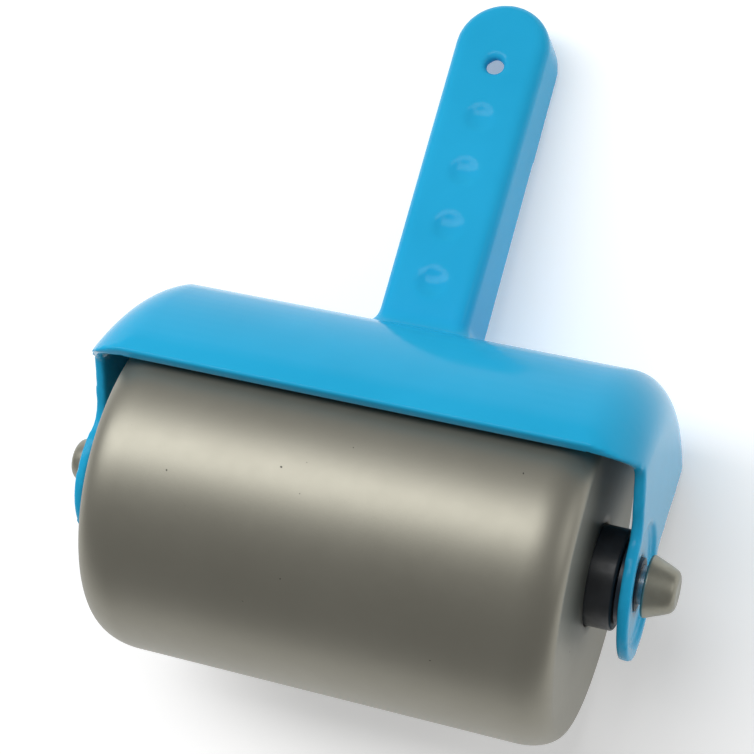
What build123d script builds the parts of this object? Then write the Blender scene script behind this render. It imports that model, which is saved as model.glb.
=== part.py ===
from build123d import *
import math
import os

# Hand roller (brayer) lying on a table with its front up.
# Row frame: X along the roller axle, +Y towards the handle's tip, +Z up.
# The origin is under the middle of the whole thing, on the table.
#
# Everything is first drawn in the handle's own frame, with the axle's centre at (0, 0, 0):
# X along the axle, +Y along the handle to its tip, +Z out of the handle's front face.

# ---- driving dimensions, mm -------------------------------------------------------------
# Roller
roller_length = 100.0
roller_diameter = 73.4
end_round_radial = 4.6
end_round_axial = 8.4
rubber_end_wall = 2.0
rubber_end_hole = 22.0
core_diameter = 56.0
core_bore = 50.0
plug_depth = 8.0
plug_web = 2.6
collar_diameter = 21.0
collar_wall = 3.0
collar_edge_round = 0.6
axle_diameter = 8.0
axle_chamfer = 0.4
spoke_count = 6
spoke_thickness = 1.8

# Hood and ears
hood_radius = 46.4
hood_centre_back = 3.6
hood_centre_drop = 3.6
hood_wall = 2.8
end_arch_radius = 57.5
end_arch_back = 10.5
end_arch_drop = 12.8
end_round = 12.5
front_round_outside = 3.0
front_round_inside = 5.7
hood_lean = 8.5
lip_height = 19.5
lip_slant = 1.4
frame_width = 119.3
ear_splay = 2.8
ear_thickness = 2.4
ear_radius = 15.7
ear_side_angle = 43.5
ear_side_offset = 4.05
ear_neck_round = 6.0
ear_corner_round = 3.0
ear_pocket_radius = 12.8
ear_pocket_depth = 0.9
ear_boss_radius = 10.0
ear_boss_height = 0.7

# Bearing bushes
bush_wall = 1.4
bush_flange_radius = 9.0
bush_flange = 0.8
bush_proud = 0.3
running_gap = 0.08
collar_play = 0.3

# Retaining cones on the axle's ends
cone_start = 60.4
cone_length = 6.4
cone_base_radius = 6.7
cone_tip_radius = 4.8
cone_base_edge = 0.8
cone_tip_edge = 1.6
cone_socket = 4.4

# Handle
handle_foot_width = 19.6
handle_tip_width = 21.4
handle_tip_depth = 13.5
handle_foot_depth = 17.0
handle_face = 2.2
handle_tip = 124.5
handle_draft = 3.0
handle_face_wall = 2.6
handle_side_wall = 2.4
handle_edge_round = 3.0
handle_foot_round = 4.0
rib_thickness = 1.8
rib_setback = 2.0
hole_place = 108.3
hole_diameter = 4.0
hole_rim_diameter = 5.4
hole_rim_depth = 0.9
dimple_pitch = 13.45
dimple_count = 4
dimple_diameter = 7.0
dimple_depth = 0.9

# Room left beyond a face by a cutter or a blank before it is trimmed
under_ear = 2.0
foot_spare = 2.0
end_spare = 5.0

# ---- worked out from those --------------------------------------------------------------
roller_radius = roller_diameter / 2
axle_radius = axle_diameter / 2
half_frame = frame_width / 2
boss_face = half_frame - ear_thickness - ear_boss_height
hood_top = hood_radius - hood_centre_drop
core_half = roller_length / 2 - rubber_end_wall
tip_back = handle_face - handle_tip_depth
foot_back = handle_face - handle_foot_depth
back_growth = handle_tip_depth * math.tan(math.radians(handle_draft))
bush_bore = axle_radius + running_gap
bush_radius = bush_bore + bush_wall
flange_inside = boss_face - bush_flange
collar_end = flange_inside - collar_play
pocket_floor = half_frame - ear_pocket_depth
cone_end = cone_start + cone_length
axle_end = cone_start + cone_socket
dimple_places = [hole_place - dimple_pitch * (i + 1) for i in range(dimple_count)]
rib_places = [place - dimple_pitch / 2 for place in dimple_places]


def rest_angle():
    """Slope of the handle, in degrees, when the roller and the handle's back tip both touch the table."""
    reach = handle_tip + back_growth
    far = math.hypot(reach, tip_back)
    return math.degrees(math.asin(roller_radius / far) + math.atan2(tip_back, reach))


def along_x(shape, start):
    """Turn a shape drawn along +Z from zero into one along +X that starts at the given place."""
    return Pos(start, 0, 0) * Rot(0, 90, 0) * shape


def tube(outer, inner, start, end):
    """Round tube along X between two places."""
    ring = Circle(outer) - Circle(inner)
    return along_x(extrude(ring, end - start), start)


def rod(radius, start, end):
    """Round bar along X between two places."""
    return along_x(extrude(Circle(radius), end - start), start)


def spun(outline):
    """Solid turned about the X axis from an outline in the XY plane."""
    return revolve(make_face(outline), Axis.X)


def both_ends(shape):
    """The same piece at the right end and, mirrored, at the left end."""
    return {"right": shape, "left": mirror(shape, Plane.YZ)}


# ---- roller -----------------------------------------------------------------------------
def rubber_sleeve():
    """Rubber covering with softly rounded ends that fold in over the core, as far as the collars."""
    half = roller_length / 2
    straight = half - end_round_axial
    inner = core_diameter / 2
    hole = rubber_end_hole / 2
    shoulder = roller_radius - end_round_radial
    right = EllipticalCenterArc((straight, shoulder), end_round_axial, end_round_radial, 0, arc_size=90)
    left = EllipticalCenterArc((-straight, shoulder), end_round_axial, end_round_radial, 90, arc_size=90)
    outline = [
        Polyline(
            (-half, hole),
            (-core_half, hole),
            (-core_half, inner),
            (core_half, inner),
            (core_half, hole),
            (half, hole),
            (half, shoulder),
        ),
        right,
        Line((straight, roller_radius), (-straight, roller_radius)),
        left,
        Line((-half, shoulder), (-half, hole)),
    ]
    return spun(outline)


def core_tube():
    """Stiff tube inside the rubber."""
    return tube(core_diameter / 2, core_bore / 2, -core_half, core_half)


def end_plug():
    """Right end plug: a dished disc pressed in the core, with a collar, a hub and radial ribs."""
    face = core_half
    back = face - plug_depth
    rim = core_bore / 2
    hub = collar_diameter / 2
    plug = tube(rim, rim - plug_web, back, face)
    plug += tube(rim, axle_radius, face - plug_web, face)
    plug += tube(hub, axle_radius, back, collar_end)
    rib_length = rim - hub
    for i in range(spoke_count):
        rib = Box(face - back, rib_length, spoke_thickness)
        rib = Pos((face + back) / 2, hub + rib_length / 2 - plug_web / 2, 0) * rib
        plug += Rot(360 / spoke_count * i, 0, 0) * rib
    relief = tube(hub - collar_wall, axle_radius + collar_wall, back, collar_end - 2 * collar_wall)
    plug -= relief
    rim_edge = plug.edges().filter_by(GeomType.CIRCLE).group_by(Axis.X)[-1].sort_by(SortBy.RADIUS)[-1]
    return fillet(rim_edge, collar_edge_round)


def retaining_cone():
    """Right cone cap: it keeps the axle in the ear, with its wide end inwards."""
    slope = (cone_base_radius - cone_tip_radius) / cone_length
    outline = Polyline(
        (cone_start, 0),
        (cone_start, cone_base_radius),
        (cone_start + cone_base_edge, cone_base_radius - slope * cone_base_edge),
        (cone_end, cone_tip_radius),
        (cone_end, 0),
        close=True,
    )
    cone = spun(outline)
    rims = cone.edges().filter_by(GeomType.CIRCLE).group_by(Axis.X)
    cone = fillet(rims[-1], cone_tip_edge)
    rims = cone.edges().filter_by(GeomType.CIRCLE).group_by(Axis.X)
    cone = fillet(rims[0], cone_base_edge / 2)
    return cone - rod(axle_radius, cone_start - cone_base_edge, axle_end)


def steel_axle():
    """Plain steel axle through the plugs, the bushes and into both cones."""
    axle = rod(axle_radius, -axle_end, axle_end)
    return chamfer(axle.edges().filter_by(GeomType.CIRCLE), axle_chamfer)


# ---- frame ------------------------------------------------------------------------------
def bearing_bush():
    """Right bush: a sleeve through the ear with a flange against the ear's inner face."""
    sleeve = tube(bush_radius, bush_bore, flange_inside, pocket_floor + bush_proud)
    return sleeve + tube(bush_flange_radius, bush_bore, flange_inside, boss_face)


def arch(radius, back, drop):
    """Long bar along X whose top is an arc about a line behind and below the axle."""
    reach = frame_width
    section = Pos(back, -drop) * Circle(radius)
    section &= Pos(0, reach - ear_radius - under_ear) * Rectangle(2 * reach, 2 * reach)
    return Rot(0, 90, 0) * extrude(section, reach, both=True)


def hood_log(inset, front_round):
    """Block whose skin is the hood's, moved in by the inset: arched along X, with round splayed ends.

    The ends are rounded by their own radius over the top and by the front radius beside the lip.
    """
    reach = frame_width
    half = half_frame - inset * ear_thickness / hood_wall
    lean = math.tan(math.radians(ear_splay)) * reach
    ends = Polyline(
        (-half - lean, -reach),
        (half + lean, -reach),
        (half - lean, reach),
        (lean - half, reach),
        close=True,
    )
    block = extrude(make_face(ends), reach, both=True)
    top = arch(end_arch_radius - inset, end_arch_back, end_arch_drop) & block
    top = fillet(top.edges().filter_by(GeomType.LINE, reverse=True), end_round - inset)
    front = arch(hood_radius - inset, hood_centre_back, hood_centre_drop) & block
    if front_round:
        front = fillet(front.edges().filter_by(GeomType.LINE, reverse=True), front_round)
    return top & front


def arch_depth(radius, height):
    """How far in front of the axle the hood's arch of this radius is, at a height above the axle."""
    return math.sqrt(radius ** 2 - (height + hood_centre_drop) ** 2) - hood_centre_back


def side_outline():
    """Outline seen along the axle: a disc at the axle, sloping sides, and the slanted front lip of the hood."""
    angle = math.radians(ear_side_angle)
    foot = ear_side_offset / math.cos(angle)
    slope = math.tan(angle)
    above = hood_top * 2
    far = foot + slope * above
    corner = foot + slope * lip_height
    lip_inside = arch_depth(hood_radius - hood_wall, lip_height)
    lip_outside = arch_depth(hood_radius, lip_height)
    rise = lip_slant * (far - lip_inside) / (lip_outside - lip_inside)
    fan = Polyline(
        (foot, 0),
        (far, above),
        (-far, above),
        (-far, lip_height + rise),
        (-lip_inside, lip_height),
        (-corner, lip_height),
        (-foot, 0),
        close=True,
    )
    outline = make_face(fan) + Circle(ear_radius)
    necks = outline.vertices().filter_by_position(Axis.Y, 1, lip_height - 1)
    outline = fillet(necks, ear_neck_round)
    corners = [v for v in outline.vertices() if abs(v.X + corner) < 0.1 and abs(v.Y - lip_height) < 0.1]
    return fillet(corners, ear_corner_round)


def hood_and_ears(cavity):
    """Curved hood over the back of the roller, with an ear at each end, upright."""
    shell = hood_log(0, front_round_outside) - cavity
    prism = extrude(side_outline(), frame_width, both=True)
    shell &= Rot(0, 90, 0) * prism
    for side in (-1, 1):
        boss = rod(ear_boss_radius, boss_face, half_frame - ear_thickness / 2)
        shell += boss if side > 0 else mirror(boss, Plane.YZ)
    return shell


def handle_section(inset, foot):
    """Flat outline of the handle, moved in by the inset: nearly parallel sides and a half-round end."""
    wide = handle_tip_width / 2 - inset
    narrow = handle_foot_width / 2 - inset
    straight = handle_tip - handle_tip_width / 2
    outline = [
        Line((narrow, foot), (wide, straight)),
        CenterArc((0, straight), wide, 0, 180),
        Line((-wide, straight), (-narrow, foot)),
        Line((-narrow, foot), (narrow, foot)),
    ]
    return make_face(outline)


def handle_blank():
    """Solid handle with drafted sides and a rounded front edge, deeper towards the hood."""
    foot = hood_top / 2
    section = Pos(0, 0, handle_face) * handle_section(0, foot)
    blank = extrude(section, handle_foot_depth + foot_spare, dir=(0, 0, -1), taper=-handle_draft)
    front = blank.edges().group_by(Axis.Z)[-1].sort_by(Axis.Y)[1:]
    return fillet(front, handle_edge_round) & handle_depth_slab(0)


def handle_depth_slab(setback):
    """Thick slab in front of the handle's sloping back face, moved forward by the setback."""
    end = handle_tip + end_spare
    slope = (tip_back - foot_back) / (handle_tip - hood_top)
    start_back = foot_back - slope * hood_top + setback
    end_back = foot_back + slope * (end - hood_top) + setback
    side = Polyline((0, start_back), (end, end_back), (end, handle_face), (0, handle_face), close=True)
    return extrude(Plane.YZ * make_face(side), handle_tip_width, both=True)


def handle_hollow():
    """Open-backed hollow of the handle, with the space of its ribs left solid."""
    foot = hood_top + handle_foot_round
    floor = handle_face - handle_face_wall
    section = Pos(0, 0, floor) * handle_section(handle_side_wall, foot)
    hollow = extrude(section, handle_foot_depth, dir=(0, 0, -1), taper=-handle_draft)
    ribs = Pos(0, (foot + rib_places[0]) / 2, 0) * Box(rib_thickness, rib_places[0] - foot, handle_tip)
    for place in rib_places:
        ribs += Pos(0, place, 0) * Box(handle_tip_width * 2, rib_thickness, handle_tip)
    return hollow - (ribs & handle_depth_slab(rib_setback))


def dimple():
    """Shallow round hollow of a thumb grip, as the cap of a ball."""
    half = dimple_diameter / 2
    ball_radius = (half ** 2 + dimple_depth ** 2) / (2 * dimple_depth)
    return Pos(0, 0, handle_face + ball_radius - dimple_depth) * Sphere(ball_radius)


def hanging_hole():
    """Round hole near the tip with a countersunk front rim."""
    hole = Pos(0, 0, handle_face) * Cylinder(hole_diameter / 2, handle_tip_depth * 2)
    rim = Cone(hole_diameter / 2, hole_rim_diameter / 2, hole_rim_depth)
    return hole + Pos(0, 0, handle_face - hole_rim_depth / 2) * rim


def moulded_frame():
    """One-piece frame: hood, ears and handle, with holes for the bushes."""
    lean = Rot(hood_lean, 0, 0)
    cavity = hood_log(hood_wall, front_round_inside)
    body = lean * hood_and_ears(cavity) + (handle_blank() - lean * cavity)
    near_top = body.edges().filter_by_position(Axis.Y, hood_top * 0.9, hood_top * 1.05)
    foot_edges = [edge for edge in near_top if abs(edge.center().X) < handle_tip_width]
    body = fillet(foot_edges, handle_foot_round)
    body -= handle_hollow()
    body -= Pos(0, hole_place, 0) * hanging_hole()
    for place in dimple_places:
        body -= Pos(0, place, 0) * dimple()
    for side in (-1, 1):
        pocket = Rot(0, 0, ear_splay) * rod(ear_pocket_radius, -ear_pocket_depth, end_spare)
        pocket = Pos(half_frame, 0, 0) * pocket
        body -= lean * (pocket if side > 0 else mirror(pocket, Plane.YZ))
    return body - rod(bush_radius, -frame_width, frame_width)


# ---- every piece, placed and written ----------------------------------------------------
def all_pieces():
    """Each node's name and shape in the handle's frame."""
    pieces = {
        "frame": moulded_frame(),
        "rubber_sleeve": rubber_sleeve(),
        "core_tube": core_tube(),
        "axle": steel_axle(),
    }
    for side, shape in both_ends(end_plug()).items():
        pieces[side + "_end_plug"] = shape
    for side, shape in both_ends(bearing_bush()).items():
        pieces[side + "_bush"] = shape
    for side, shape in both_ends(retaining_cone()).items():
        pieces[side + "_cone"] = shape
    return pieces


def place_on_table(pieces):
    """Tilt the handle down until it rests on the table and put the origin under the middle."""
    tilted = {name: Rot(-rest_angle(), 0, 0) * shape for name, shape in pieces.items()}
    whole = Compound(children=[Part() + shape for shape in tilted.values()]).bounding_box()
    shift = Pos(0, -whole.center().Y, -whole.min.Z)
    return {name: shift * shape for name, shape in tilted.items()}


os.makedirs("parts", exist_ok=True)
for name, shape in place_on_table(all_pieces()).items():
    export_step(shape, f"parts/{name}.step")
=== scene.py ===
import math

import bmesh
import bpy
import numpy as np
from mathutils import Matrix, Vector


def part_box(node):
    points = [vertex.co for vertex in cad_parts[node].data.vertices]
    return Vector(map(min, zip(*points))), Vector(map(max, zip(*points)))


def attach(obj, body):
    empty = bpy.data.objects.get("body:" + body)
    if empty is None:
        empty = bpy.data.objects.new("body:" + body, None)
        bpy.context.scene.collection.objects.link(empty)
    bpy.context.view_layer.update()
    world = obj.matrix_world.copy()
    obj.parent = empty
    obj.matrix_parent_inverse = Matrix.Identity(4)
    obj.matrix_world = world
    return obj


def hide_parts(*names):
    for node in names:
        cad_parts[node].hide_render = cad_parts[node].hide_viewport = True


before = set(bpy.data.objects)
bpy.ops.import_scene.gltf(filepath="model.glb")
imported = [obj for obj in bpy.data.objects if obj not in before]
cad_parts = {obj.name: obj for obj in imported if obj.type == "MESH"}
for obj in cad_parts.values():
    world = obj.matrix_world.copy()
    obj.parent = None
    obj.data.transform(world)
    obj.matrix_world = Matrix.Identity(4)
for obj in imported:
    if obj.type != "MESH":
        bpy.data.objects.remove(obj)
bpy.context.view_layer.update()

# Hand roller (brayer): a rubber roller between the ears of a moulded blue hood with a handle.
# Everything is in metres in the row frame: +X along the axle, +Y towards the handle's tip, +Z up.

MM = 0.001

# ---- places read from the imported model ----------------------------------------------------
AXLE_LOW, AXLE_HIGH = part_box("axle")
AXLE_Y = (AXLE_LOW.y + AXLE_HIGH.y) / 2
AXLE_Z = (AXLE_LOW.z + AXLE_HIGH.z) / 2
AXLE_RADIUS = (AXLE_HIGH.z - AXLE_LOW.z) / 2
SLEEVE_LOW, SLEEVE_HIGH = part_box("rubber_sleeve")
ROLLER_HALF = SLEEVE_HIGH.x
ROLLER_RADIUS = (SLEEVE_HIGH.z - SLEEVE_LOW.z) / 2

# ---- small tools ---------------------------------------------------------------------------


def new_object(name, mesh, body):
    """A piece with this mesh, riding on a body."""
    piece = bpy.data.objects.new(name, mesh)
    bpy.context.scene.collection.objects.link(piece)
    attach(piece, body)
    return piece


def lathe(name, profile, segments, material, body, node):
    """A round piece about the axle that stands for a node.

    The profile is a closed loop of (x, radius) points in metres. A zero radius is a point on the axis.
    """
    verts = []
    rings = []
    for x, radius in profile:
        if radius <= 0:
            rings.append([len(verts)])
            verts.append((x, AXLE_Y, AXLE_Z))
            continue
        ring = []
        for i in range(segments):
            turn = 2 * math.pi * i / segments
            ring.append(len(verts))
            verts.append((x, AXLE_Y + radius * math.cos(turn), AXLE_Z + radius * math.sin(turn)))
        rings.append(ring)
    faces = []
    for first, second in zip(rings, rings[1:] + rings[:1]):
        if len(first) == 1 and len(second) == 1:
            continue
        for i in range(segments):
            j = (i + 1) % segments
            if len(first) == 1:
                faces.append((first[0], second[j], second[i]))
            elif len(second) == 1:
                faces.append((first[i], first[j], second[0]))
            else:
                faces.append((first[i], first[j], second[j], second[i]))
    mesh = bpy.data.meshes.new(name)
    mesh.from_pydata(verts, [], faces)
    mesh.validate()
    mesh.shade_smooth()
    mesh.materials.append(material)
    piece = new_object(name, mesh, body)
    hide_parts(node)
    fix_normals(mesh)


def fix_normals(mesh):
    """Turn all faces outwards."""
    work = bmesh.new()
    work.from_mesh(mesh)
    bmesh.ops.recalc_face_normals(work, faces=work.faces)
    work.to_mesh(mesh)
    work.free()


def arc(centre, radii, start, end, steps):
    """Points along an elliptic arc in the (x, radius) plane, angles in degrees from +x."""
    points = []
    for i in range(steps + 1):
        turn = math.radians(start + (end - start) * i / steps)
        points.append((centre[0] + radii[0] * math.cos(turn), centre[1] + radii[1] * math.sin(turn)))
    return points


def line(start, end, steps):
    """Points between two places, without the first."""
    return [
        (start[0] + (end[0] - start[0]) * i / steps, start[1] + (end[1] - start[1]) * i / steps)
        for i in range(1, steps + 1)
    ]


def relax(points, edges, share, rounds):
    """Move every point a share of the way to the mean of its neighbours, this many times."""
    count = np.bincount(edges.ravel(), minlength=len(points))
    for _ in range(rounds):
        total = np.empty_like(points)
        for axis in range(3):
            values = points[:, axis]
            total[:, axis] = np.bincount(edges[:, 0], values[edges[:, 1]], len(points))
            total[:, axis] += np.bincount(edges[:, 1], values[edges[:, 0]], len(points))
        points += share * (total / count[:, None] - points)
    return points


# ---- materials -----------------------------------------------------------------------------


def new_material(name, **sockets):
    """A Principled material with plain values on its own sockets, its node tree and its shader."""
    material = bpy.data.materials.new(name)
    material.use_nodes = True
    tree = material.node_tree
    shader = tree.nodes["Principled BSDF"]
    for socket, value in sockets.items():
        shader.inputs[socket.replace("_", " ")].default_value = value
    return material, tree, shader


def noise_node(tree, coords, scale, detail, roughness):
    """Noise over these coordinates; the scale is in waves per metre."""
    node = tree.nodes.new("ShaderNodeTexNoise")
    node.inputs["Scale"].default_value = scale
    node.inputs["Detail"].default_value = detail
    node.inputs["Roughness"].default_value = roughness
    tree.links.new(coords, node.inputs["Vector"])
    return node


def ramp_node(tree, source, stops):
    """Colour ramp from [(place, colour)]."""
    node = tree.nodes.new("ShaderNodeValToRGB")
    elements = node.color_ramp.elements
    while len(elements) < len(stops):
        elements.new(0.5)
    for element, (place, colour) in zip(elements, stops):
        element.position = place
        element.color = (*colour, 1.0)
    tree.links.new(source, node.inputs["Fac"])
    return node


def range_node(tree, source, low, high, from_low, from_high):
    """Map the source from one range to low..high."""
    node = tree.nodes.new("ShaderNodeMapRange")
    node.inputs["From Min"].default_value = from_low
    node.inputs["From Max"].default_value = from_high
    node.inputs["To Min"].default_value = low
    node.inputs["To Max"].default_value = high
    tree.links.new(source, node.inputs["Value"])
    return node


def bump_node(tree, height, distance, strength, before=None):
    """Bump from a height, on top of another bump if one is given; the distance is in metres."""
    node = tree.nodes.new("ShaderNodeBump")
    node.inputs["Distance"].default_value = distance
    node.inputs["Strength"].default_value = strength
    tree.links.new(height, node.inputs["Height"])
    if before is not None:
        tree.links.new(before.outputs["Normal"], node.inputs["Normal"])
    return node


def object_coords(tree):
    """Place on the object, in metres."""
    return tree.nodes.new("ShaderNodeTexCoord").outputs["Object"]


def blue_plastic():
    """Glossy moulded plastic: faint flow marks in its colour, faint unevenness in its shine."""
    material, tree, shader = new_material(
        "blue_moulded_plastic",
        IOR=1.5,
        Specular_IOR_Level=0.09,
        Subsurface_Weight=0.04,
        Subsurface_Radius=(0.2, 0.6, 1.0),
        Subsurface_Scale=1.2 * MM,
    )
    coords = object_coords(tree)
    clouds = noise_node(tree, coords, 38.0, 3.0, 0.55)
    colour = ramp_node(
        tree,
        clouds.outputs["Fac"],
        [(0.3, (0.019, 0.405, 0.700)), (0.7, (0.023, 0.435, 0.748))],
    )
    tree.links.new(colour.outputs["Color"], shader.inputs["Base Color"])
    scuffs = noise_node(tree, coords, 900.0, 4.0, 0.6)
    rough = range_node(tree, scuffs.outputs["Fac"], 0.12, 0.16, 0.3, 0.7)
    tree.links.new(rough.outputs["Result"], shader.inputs["Roughness"])
    waves = noise_node(tree, coords, 160.0, 2.0, 0.4)
    peel = noise_node(tree, coords, 1600.0, 2.0, 0.5)
    first = bump_node(tree, waves.outputs["Fac"], 0.00003, 0.3)
    second = bump_node(tree, peel.outputs["Fac"], 0.000004, 0.3, first)
    tree.links.new(second.outputs["Normal"], shader.inputs["Normal"])
    return material


def roller_rubber():
    """Warm grey satin rubber: ground finish round the roller, a few dark specks and rubbed patches."""
    material, tree, shader = new_material("grey_roller_rubber", IOR=1.5, Metallic=0.8)
    coords = object_coords(tree)
    clouds = noise_node(tree, coords, 45.0, 5.0, 0.6)
    colour = ramp_node(
        tree,
        clouds.outputs["Fac"],
        [(0.25, (0.278, 0.267, 0.221)), (0.75, (0.300, 0.289, 0.241))],
    )
    specks = noise_node(tree, coords, 620.0, 1.0, 0.4)
    mask = ramp_node(
        tree,
        specks.outputs["Fac"],
        [(0.0, (0, 0, 0)), (0.165, (0, 0, 0)), (0.18, (1, 1, 1))],
    )
    mixed = tree.nodes.new("ShaderNodeMix")
    mixed.data_type = "RGBA"
    mixed.inputs["A"].default_value = (0.07, 0.065, 0.055, 1.0)
    tree.links.new(mask.outputs["Color"], mixed.inputs["Factor"])
    tree.links.new(colour.outputs["Color"], mixed.inputs["B"])
    tree.links.new(mixed.outputs["Result"], shader.inputs["Base Color"])
    rubbed = noise_node(tree, coords, 260.0, 6.0, 0.65)
    rough = range_node(tree, rubbed.outputs["Fac"], 0.42, 0.445, 0.3, 0.7)
    tree.links.new(rough.outputs["Result"], shader.inputs["Roughness"])
    stretch = tree.nodes.new("ShaderNodeMapping")
    stretch.inputs["Scale"].default_value = (9.0, 1.0, 1.0)
    tree.links.new(coords, stretch.inputs["Vector"])
    rings = noise_node(tree, stretch.outputs["Vector"], 260.0, 3.0, 0.55)
    grain = noise_node(tree, coords, 2600.0, 2.0, 0.6)
    first = bump_node(tree, rings.outputs["Fac"], 0.00003, 0.35)
    second = bump_node(tree, grain.outputs["Fac"], 0.000012, 0.45, first)
    tree.links.new(second.outputs["Normal"], shader.inputs["Normal"])
    return material


def plain_plastic(name, dark, light, rough_low, rough_high, metallic=0.0):
    """Small moulded piece: two close colours in soft patches, uneven shine and a fine grain."""
    material, tree, shader = new_material(name, IOR=1.48, Metallic=metallic)
    coords = object_coords(tree)
    clouds = noise_node(tree, coords, 240.0, 4.0, 0.55)
    colour = ramp_node(tree, clouds.outputs["Fac"], [(0.3, dark), (0.7, light)])
    tree.links.new(colour.outputs["Color"], shader.inputs["Base Color"])
    shine = noise_node(tree, coords, 700.0, 4.0, 0.6)
    rough = range_node(tree, shine.outputs["Fac"], rough_low, rough_high, 0.3, 0.7)
    tree.links.new(rough.outputs["Result"], shader.inputs["Roughness"])
    grain = noise_node(tree, coords, 1500.0, 3.0, 0.6)
    bump = bump_node(tree, grain.outputs["Fac"], 0.00002, 0.4)
    tree.links.new(bump.outputs["Normal"], shader.inputs["Normal"])
    return material


def turned_steel():
    """Axle steel with fine turning rings round it."""
    material, tree, shader = new_material("turned_steel", Metallic=1.0)
    coords = object_coords(tree)
    stretch = tree.nodes.new("ShaderNodeMapping")
    stretch.inputs["Scale"].default_value = (20.0, 1.0, 1.0)
    tree.links.new(coords, stretch.inputs["Vector"])
    rings = noise_node(tree, stretch.outputs["Vector"], 500.0, 4.0, 0.6)
    colour = ramp_node(
        tree,
        rings.outputs["Fac"],
        [(0.3, (0.30, 0.30, 0.31)), (0.7, (0.44, 0.44, 0.45))],
    )
    tree.links.new(colour.outputs["Color"], shader.inputs["Base Color"])
    rough = range_node(tree, rings.outputs["Fac"], 0.24, 0.42, 0.3, 0.7)
    tree.links.new(rough.outputs["Result"], shader.inputs["Roughness"])
    bump = bump_node(tree, rings.outputs["Fac"], 0.00001, 0.4)
    tree.links.new(bump.outputs["Normal"], shader.inputs["Normal"])
    return material


BLUE = blue_plastic()
RUBBER = roller_rubber()
# The end plugs' near-black colour is painted shade: it darkens the collar between the roller's end and
# the ear as the hood's shade does.
PLUG_PAINTED_SHADE = plain_plastic("plug_painted_shade_plastic", (0.020, 0.022, 0.026), (0.036, 0.040, 0.046), 0.30, 0.44)
BUSH = plain_plastic("dark_bush_plastic", (0.016, 0.030, 0.050), (0.026, 0.046, 0.072), 0.30, 0.45)
CORE = plain_plastic("core_plastic", (0.08, 0.08, 0.08), (0.13, 0.13, 0.13), 0.5, 0.65)
CONE = plain_plastic(
    "grey_cone_plastic", (0.270, 0.262, 0.212), (0.330, 0.320, 0.262), 0.34, 0.42, metallic=0.75
)
STEEL = turned_steel()

# ---- frame ---------------------------------------------------------------------------------
VOXEL = 0.45 * MM
RELAX_SHARE = 0.5
RELAX_ROUNDS = 7


def moulded_frame():
    """The frame's skin as one even mesh, with every edge softened as moulding softens it."""
    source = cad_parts["frame"]
    work = bpy.data.objects.new("frame_source", source.data.copy())
    bpy.context.scene.collection.objects.link(work)
    remesh = work.modifiers.new("even", "REMESH")
    remesh.mode = "VOXEL"
    remesh.voxel_size = VOXEL
    graph = bpy.context.evaluated_depsgraph_get()
    mesh = bpy.data.meshes.new_from_object(work.evaluated_get(graph))
    bpy.data.objects.remove(work)
    count = len(mesh.vertices)
    points = np.empty(count * 3)
    mesh.vertices.foreach_get("co", points)
    points = points.reshape(count, 3)
    edges = np.empty(len(mesh.edges) * 2, dtype=np.int64)
    mesh.edges.foreach_get("vertices", edges)
    edges = edges.reshape(-1, 2)
    points = relax(points, edges, RELAX_SHARE, RELAX_ROUNDS)
    mesh.vertices.foreach_set("co", points.ravel())
    mesh.name = "moulded_frame"
    mesh.materials.clear()
    mesh.materials.append(BLUE)
    mesh.shade_smooth()
    piece = new_object("hood_and_handle", mesh, "frame_body")
    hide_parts("frame")


moulded_frame()

# ---- roller --------------------------------------------------------------------------------
END_ROUND_AXIAL = 8.4 * MM
END_ROUND_RADIAL = 4.6 * MM
END_HOLE = 11 * MM
END_WALL = 2 * MM
CORE_RADIUS = 28 * MM


def roller_profile():
    """Outline of the rubber covering, from the right end's hole round the outside and back inside."""
    half = ROLLER_HALF
    straight = half - END_ROUND_AXIAL
    shoulder = ROLLER_RADIUS - END_ROUND_RADIAL
    outside = [(half, END_HOLE)] + line((half, END_HOLE), (half, shoulder), 12)
    outside += arc((straight, shoulder), (END_ROUND_AXIAL, END_ROUND_RADIAL), 0, 90, 24)[1:]
    outside += line((straight, ROLLER_RADIUS), (0, ROLLER_RADIUS), 24)
    left = [(-x, radius) for x, radius in reversed(outside[:-1])]
    inner = half - END_WALL
    inside = [(-inner, END_HOLE), (-inner, CORE_RADIUS), (inner, CORE_RADIUS), (inner, END_HOLE)]
    return outside + left + inside


lathe("rubber_roller", roller_profile(), 256, RUBBER, "roller_body", "rubber_sleeve")

# ---- retaining cones -----------------------------------------------------------------------
CONE_BASE_RADIUS = 6.5 * MM
CONE_TIP_RADIUS = 4.75 * MM
CONE_BASE_EDGE = 0.5 * MM
CONE_TIP_EDGE = 1.9 * MM
TIP_DISH_RIM = 0.12 * MM
TIP_DISH_DEPTH = 0.15 * MM


def cone_profile(start, end):
    """Right cone from its base to its tip: both rims rounded, with a shallow dish in its tip."""
    base, edge = CONE_BASE_RADIUS, CONE_BASE_EDGE
    tip, tip_edge = CONE_TIP_RADIUS, CONE_TIP_EDGE
    slope = math.degrees(math.atan2(base - tip, end - start))
    profile = [(start, 0.0), (start, AXLE_RADIUS * 0.5), (start, base - edge)]
    profile += arc((start + edge, base - edge), (edge, edge), 180, 90 - slope, 6)[1:]
    profile += line(profile[-1], (end - tip_edge * 1.05, tip + tip_edge * 0.12), 8)
    profile += arc((end - tip_edge, tip - tip_edge), (tip_edge, tip_edge), 80, 0, 8)[1:]
    profile += [(end, tip * 0.55), (end - TIP_DISH_RIM, tip * 0.42), (end - TIP_DISH_DEPTH, 0.0)]
    return profile


for side, sign in (("right", 1), ("left", -1)):
    low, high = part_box(side + "_cone")
    start, end = sorted((abs(low.x), abs(high.x)))
    profile = [(sign * x, radius) for x, radius in cone_profile(start, end)]
    name = side + "_retaining_cone"
    lathe(name, profile, 128, CONE, "roller_body", side + "_cone")

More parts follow.
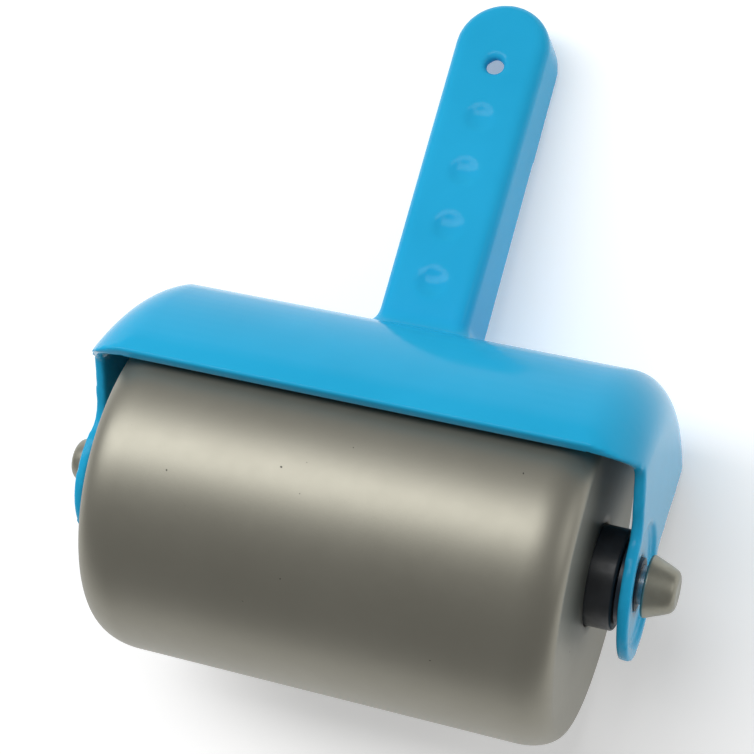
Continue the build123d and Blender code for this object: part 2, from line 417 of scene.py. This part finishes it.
# ---- CAD pieces that keep their own shape ---------------------------------------------------
KEPT = {
    "core_tube": CORE,
    "axle": STEEL,
    # The end plugs take the near-black painted shade on their collars.
    "right_end_plug": PLUG_PAINTED_SHADE,
    "left_end_plug": PLUG_PAINTED_SHADE,
    "right_bush": BUSH,
    "left_bush": BUSH,
}
for node, material in KEPT.items():
    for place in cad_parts[node].material_slots:
        place.material = material

# ---- floor, lights and camera ---------------------------------------------------------------
FLOOR_HALF = 1.5
FLOOR_ALBEDO = 0.93
FLOOR_GLOW = 0.32
ROOM_LIGHT = 0.26
MIDDLE = (0.0, -0.02, 0.03)


def pale_floor():
    """Square floor under the object, which glows a little so that its shadows stay pale."""
    half = FLOOR_HALF
    corners = [(-half, -half, 0.0), (half, -half, 0.0), (half, half, 0.0), (-half, half, 0.0)]
    mesh = bpy.data.meshes.new("floor")
    mesh.from_pydata(corners, [], [(0, 1, 2, 3)])
    material, _, _ = new_material(
        "pale_floor",
        Base_Color=(FLOOR_ALBEDO, FLOOR_ALBEDO, FLOOR_ALBEDO, 1.0),
        Roughness=0.9,
        Specular_IOR_Level=0.1,
        Emission_Color=(1.0, 1.0, 1.0, 1.0),
        Emission_Strength=FLOOR_GLOW,
    )
    mesh.materials.append(material)
    floor = bpy.data.objects.new("floor", mesh)
    bpy.context.scene.collection.objects.link(floor)


def area_light(name, place, target, width, height, power):
    """A soft white light that faces the target, its width along the roller where it can be."""
    data = bpy.data.lights.new(name, "AREA")
    data.shape = "RECTANGLE"
    data.size = width
    data.size_y = height
    data.energy = power
    light = bpy.data.objects.new(name, data)
    bpy.context.scene.collection.objects.link(light)
    back = (Vector(place) - Vector(target)).normalized()
    across = (Vector((1.0, 0.0, 0.0)) - back * back.x).normalized()
    if abs(back.x) > 0.9:
        across = Vector((0.0, 1.0, 0.0)).cross(back).normalized()
    up = back.cross(across)
    turn = Matrix((across, up, back)).transposed()
    light.matrix_world = Matrix.Translation(place) @ turn.to_4x4()


pale_floor()
area_light("key_softbox", (-0.38, 0.225, 0.80), MIDDLE, 1.25, 0.36, 6.8)
area_light("right_softbox", (0.85, 0.20, 0.45), MIDDLE, 0.5, 0.5, 1.1)

world = bpy.data.worlds.new("soft_room")
world.use_nodes = True
background = world.node_tree.nodes["Background"]
background.inputs["Color"].default_value = (1.0, 1.0, 1.0, 1.0)
background.inputs["Strength"].default_value = ROOM_LIGHT
bpy.context.scene.world = world
bpy.context.scene.view_settings.view_transform = "Standard"

CAMERA_PLACE = (0.113612, -0.048621, 0.439355)
CAMERA_RIGHT = (0.940789, 0.222397, -0.255842)
CAMERA_UP = (-0.190411, 0.971092, 0.143961)
CAMERA_BACK = (0.280462, -0.086722, 0.955940)
CAMERA_LENS = 95.06
CAMERA_SENSOR = 36.0


def photo_camera():
    """Camera at the viewing angle of the photograph."""
    data = bpy.data.cameras.new("camera")
    data.lens = CAMERA_LENS
    data.sensor_width = CAMERA_SENSOR
    data.clip_start = 0.02
    camera = bpy.data.objects.new("camera", data)
    bpy.context.scene.collection.objects.link(camera)
    turn = Matrix((CAMERA_RIGHT, CAMERA_UP, CAMERA_BACK)).transposed()
    camera.matrix_world = Matrix.Translation(CAMERA_PLACE) @ turn.to_4x4()
    bpy.context.scene.camera = camera


photo_camera()
